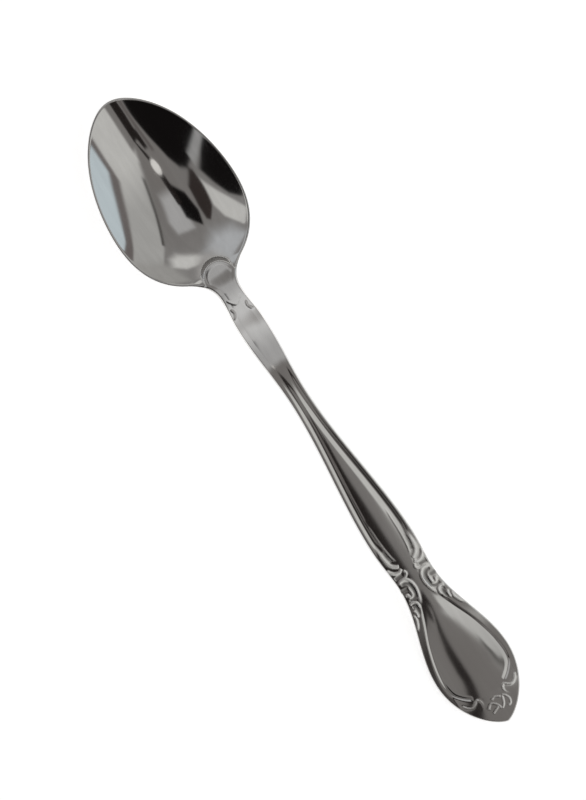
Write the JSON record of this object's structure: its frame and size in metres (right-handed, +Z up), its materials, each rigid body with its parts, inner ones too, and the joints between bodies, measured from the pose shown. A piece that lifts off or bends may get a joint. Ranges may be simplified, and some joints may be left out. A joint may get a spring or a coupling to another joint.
{
  "type": "teaspoon",
  "caption": "Teaspoon pressed from polished steel, with an egg-shaped bowl and an arched handle with a beaded, scroll-bordered spade end.",
  "frame": {"origin": "on the table, under the middle of the spoon's length and width", "axes": "+X from the tip of the bowl to the end of the handle, +Y across the spoon, +Z up out of the bowl"},
  "size_m": [0.16, 0.0302, 0.0163],
  "materials": {
    "polished_steel": "mirror-polished stainless steel, a little duller in the coined relief"
  },
  "bodies": {
    "root": {"bowl": "polished_steel", "neck": "polished_steel", "stem": "polished_steel", "scroll_shoulder": "polished_steel", "handle_end": "polished_steel"}
  },
  "joints": []
}
